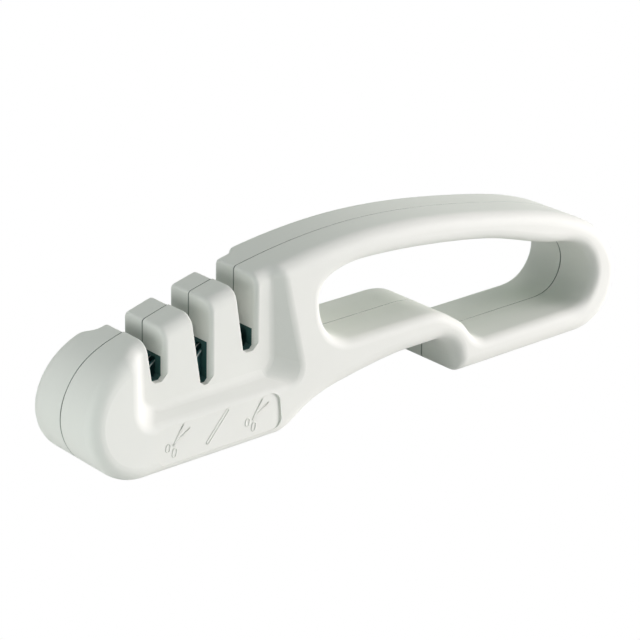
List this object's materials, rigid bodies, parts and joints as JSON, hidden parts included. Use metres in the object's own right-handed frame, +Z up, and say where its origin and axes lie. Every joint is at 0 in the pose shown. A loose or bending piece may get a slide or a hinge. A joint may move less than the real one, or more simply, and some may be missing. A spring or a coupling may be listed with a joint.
{
  "type": "pull through knife sharpener",
  "caption": "Hand-held pull-through sharpener: white two-shell body with slots over free-turning hard steel discs and a closed loop handle.",
  "frame": {"origin": "bottom centre of the body's box, on the surface it rests on and on the parting plane of the two shells", "axes": "+X from the nose with the slots to the handle's end, -Y the front with the pictogram panel, +Z up"},
  "size_m": [0.2, 0.0328, 0.0514],
  "materials": {
    "shell_plastic": "fine satin white",
    "disc_steel": "blued, bright ground rims",
    "axle_steel": "drawn pin",
    "spacer_plastic": "black moulded",
    "screw_steel": "zinc plated"
  },
  "bodies": {
    "body": {"front_shell": "shell_plastic", "rear_shell": "shell_plastic", "shell_screws": "screw_steel", "roller_carrier": "spacer_plastic", "left_axle": "axle_steel", "left_spacer_1": "spacer_plastic", "left_spacer_2": "spacer_plastic", "left_spacer_3": "spacer_plastic", "left_spacer_4": "spacer_plastic", "left_spacer_5": "spacer_plastic", "right_axle": "axle_steel", "right_spacer_1": "spacer_plastic", "right_spacer_2": "spacer_plastic", "right_spacer_3": "spacer_plastic", "right_spacer_4": "spacer_plastic", "right_spacer_5": "spacer_plastic"},
    "left_disc_1": {"left_disc_1": "disc_steel"},
    "left_disc_2": {"left_disc_2": "disc_steel"},
    "left_disc_3": {"left_disc_3": "disc_steel"},
    "left_disc_4": {"left_disc_4": "disc_steel"},
    "right_disc_1": {"right_disc_1": "disc_steel"},
    "right_disc_2": {"right_disc_2": "disc_steel"},
    "right_disc_3": {"right_disc_3": "disc_steel"},
    "right_disc_4": {"right_disc_4": "disc_steel"}
  },
  "joints": [
    {"name": "left_disc_1_spin", "type": "hinge", "parent": "body", "child": "left_disc_1", "pos_m": [-0.06717, -0.0035, 0.0212], "axis": [0, 1, 0], "continuous": true},
    {"name": "left_disc_2_spin", "type": "hinge", "parent": "body", "child": "left_disc_2", "pos_m": [-0.06717, -0.0007, 0.0212], "axis": [0, 1, 0], "continuous": true},
    {"name": "left_disc_3_spin", "type": "hinge", "parent": "body", "child": "left_disc_3", "pos_m": [-0.06717, 0.0021, 0.0212], "axis": [0, 1, 0], "continuous": true},
    {"name": "left_disc_4_spin", "type": "hinge", "parent": "body", "child": "left_disc_4", "pos_m": [-0.06717, 0.0049, 0.0212], "axis": [0, 1, 0], "continuous": true},
    {"name": "right_disc_1_spin", "type": "hinge", "parent": "body", "child": "right_disc_1", "pos_m": [-0.05153, -0.0049, 0.0212], "axis": [0, 1, 0], "continuous": true},
    {"name": "right_disc_2_spin", "type": "hinge", "parent": "body", "child": "right_disc_2", "pos_m": [-0.05153, -0.0021, 0.0212], "axis": [0, 1, 0], "continuous": true},
    {"name": "right_disc_3_spin", "type": "hinge", "parent": "body", "child": "right_disc_3", "pos_m": [-0.05153, 0.0007, 0.0212], "axis": [0, 1, 0], "continuous": true},
    {"name": "right_disc_4_spin", "type": "hinge", "parent": "body", "child": "right_disc_4", "pos_m": [-0.05153, 0.0035, 0.0212], "axis": [0, 1, 0], "continuous": true}
  ]
}
